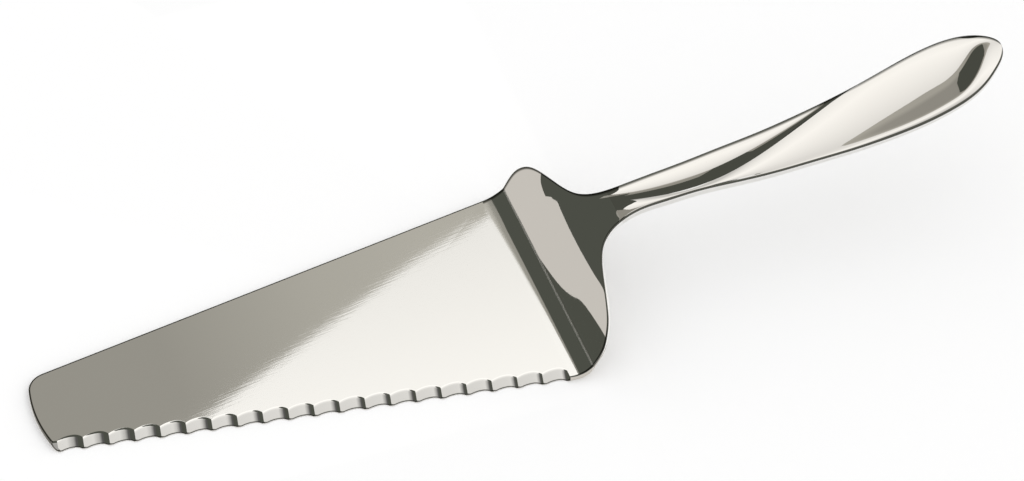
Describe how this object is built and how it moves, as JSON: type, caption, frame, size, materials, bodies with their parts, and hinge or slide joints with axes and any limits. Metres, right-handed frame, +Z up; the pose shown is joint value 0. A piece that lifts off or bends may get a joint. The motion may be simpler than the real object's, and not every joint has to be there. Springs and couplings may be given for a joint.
{
  "type": "serrated cake server",
  "caption": "Polished steel cake server with a wedge-shaped blade, one serrated edge, a raised fan-shaped shoulder and a sculpted, twisted hollow handle.",
  "frame": {"origin": "on the flat underside of the blade, at the middle of its root line, where the plate starts to bend up to the handle", "axes": "+X from the blade towards the end of the handle, -Y towards the serrated edge, +Z up from the table"},
  "size_m": [0.2611, 0.0678, 0.046],
  "materials": {
    "blade_steel": "polished, with a fine lengthwise grain on the plate",
    "handle_steel": "mirror polished",
    "filler": "matte cement"
  },
  "bodies": {
    "root": {"blade": "blade_steel", "handle_top_shell": "handle_steel", "handle_bottom_shell": "handle_steel", "tang_cement": "filler"}
  },
  "joints": []
}
